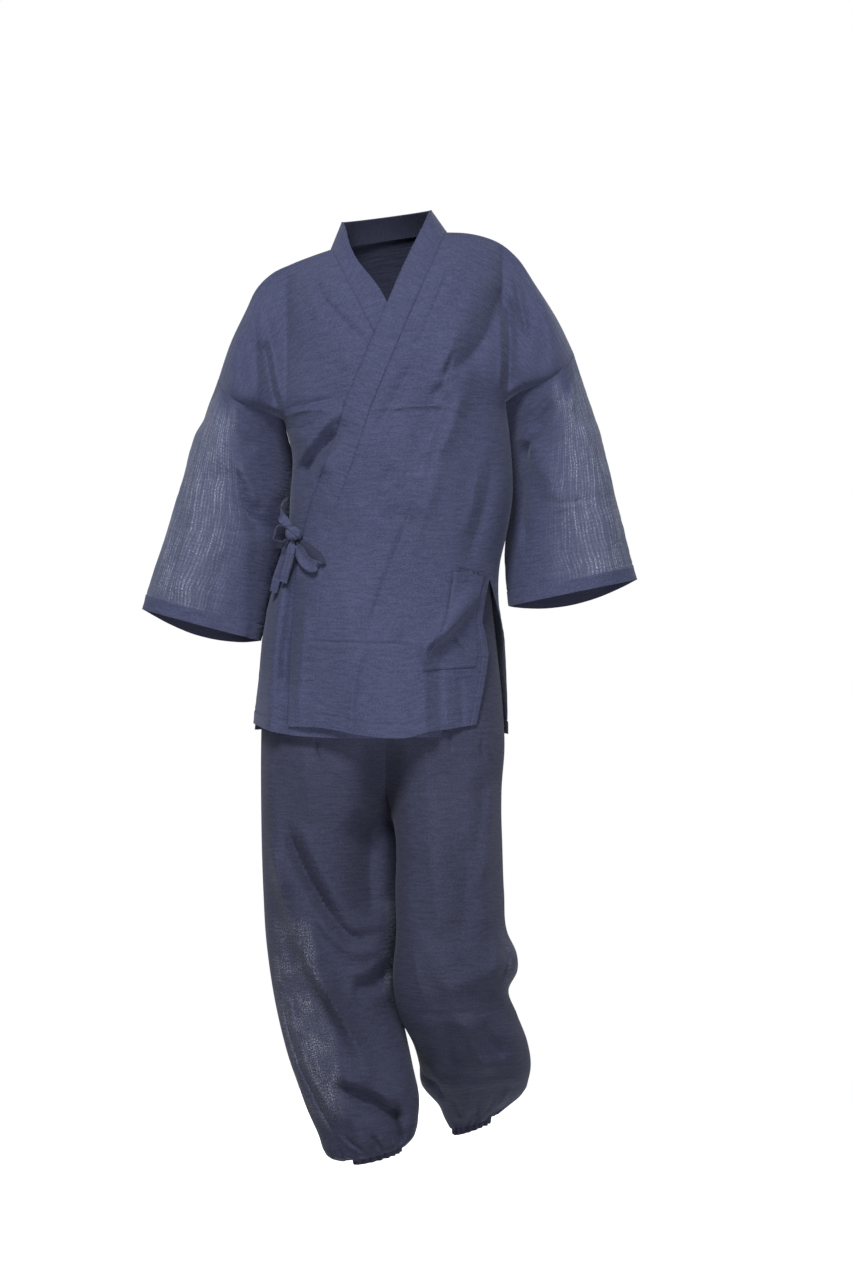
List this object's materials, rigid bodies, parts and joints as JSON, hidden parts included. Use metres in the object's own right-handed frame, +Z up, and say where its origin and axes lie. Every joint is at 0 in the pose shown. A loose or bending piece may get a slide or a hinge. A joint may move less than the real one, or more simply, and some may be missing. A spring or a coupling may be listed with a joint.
{
  "type": "samue set",
  "caption": "Wrapped samue jacket with straight sleeves, a collar band and a side tie, over wide trousers gathered at the ankles, in the hollow form it has when worn.",
  "frame": {"origin": "the base of the wearer's neck, where the shoulders and neck hold the jacket", "axes": "+Z up, -Y the front, +X the wearer's left, which is the right of the picture"},
  "size_m": [0.739, 0.3301, 1.4163],
  "materials": {
    "jacket_cloth": "crinkled navy cotton, dry and slightly sheer",
    "trouser_cloth": "crinkled navy cotton, dry"
  },
  "bodies": {
    "root": {"jacket_front_right": "jacket_cloth", "jacket_front_left": "jacket_cloth", "jacket_back": "jacket_cloth", "collar": "jacket_cloth", "sleeve_right": "jacket_cloth", "sleeve_left": "jacket_cloth", "pocket": "jacket_cloth", "tie_side": "jacket_cloth", "tie_knot": "jacket_cloth", "tie_loop_left": "jacket_cloth", "tie_loop_right": "jacket_cloth", "tie_tail_short": "jacket_cloth", "tie_tail_long": "jacket_cloth", "waistband": "trouser_cloth", "leg_right_front": "trouser_cloth", "leg_right_back": "trouser_cloth", "leg_left_front": "trouser_cloth", "leg_left_back": "trouser_cloth", "ankle_right": "trouser_cloth", "ankle_left": "trouser_cloth"}
  },
  "joints": []
}
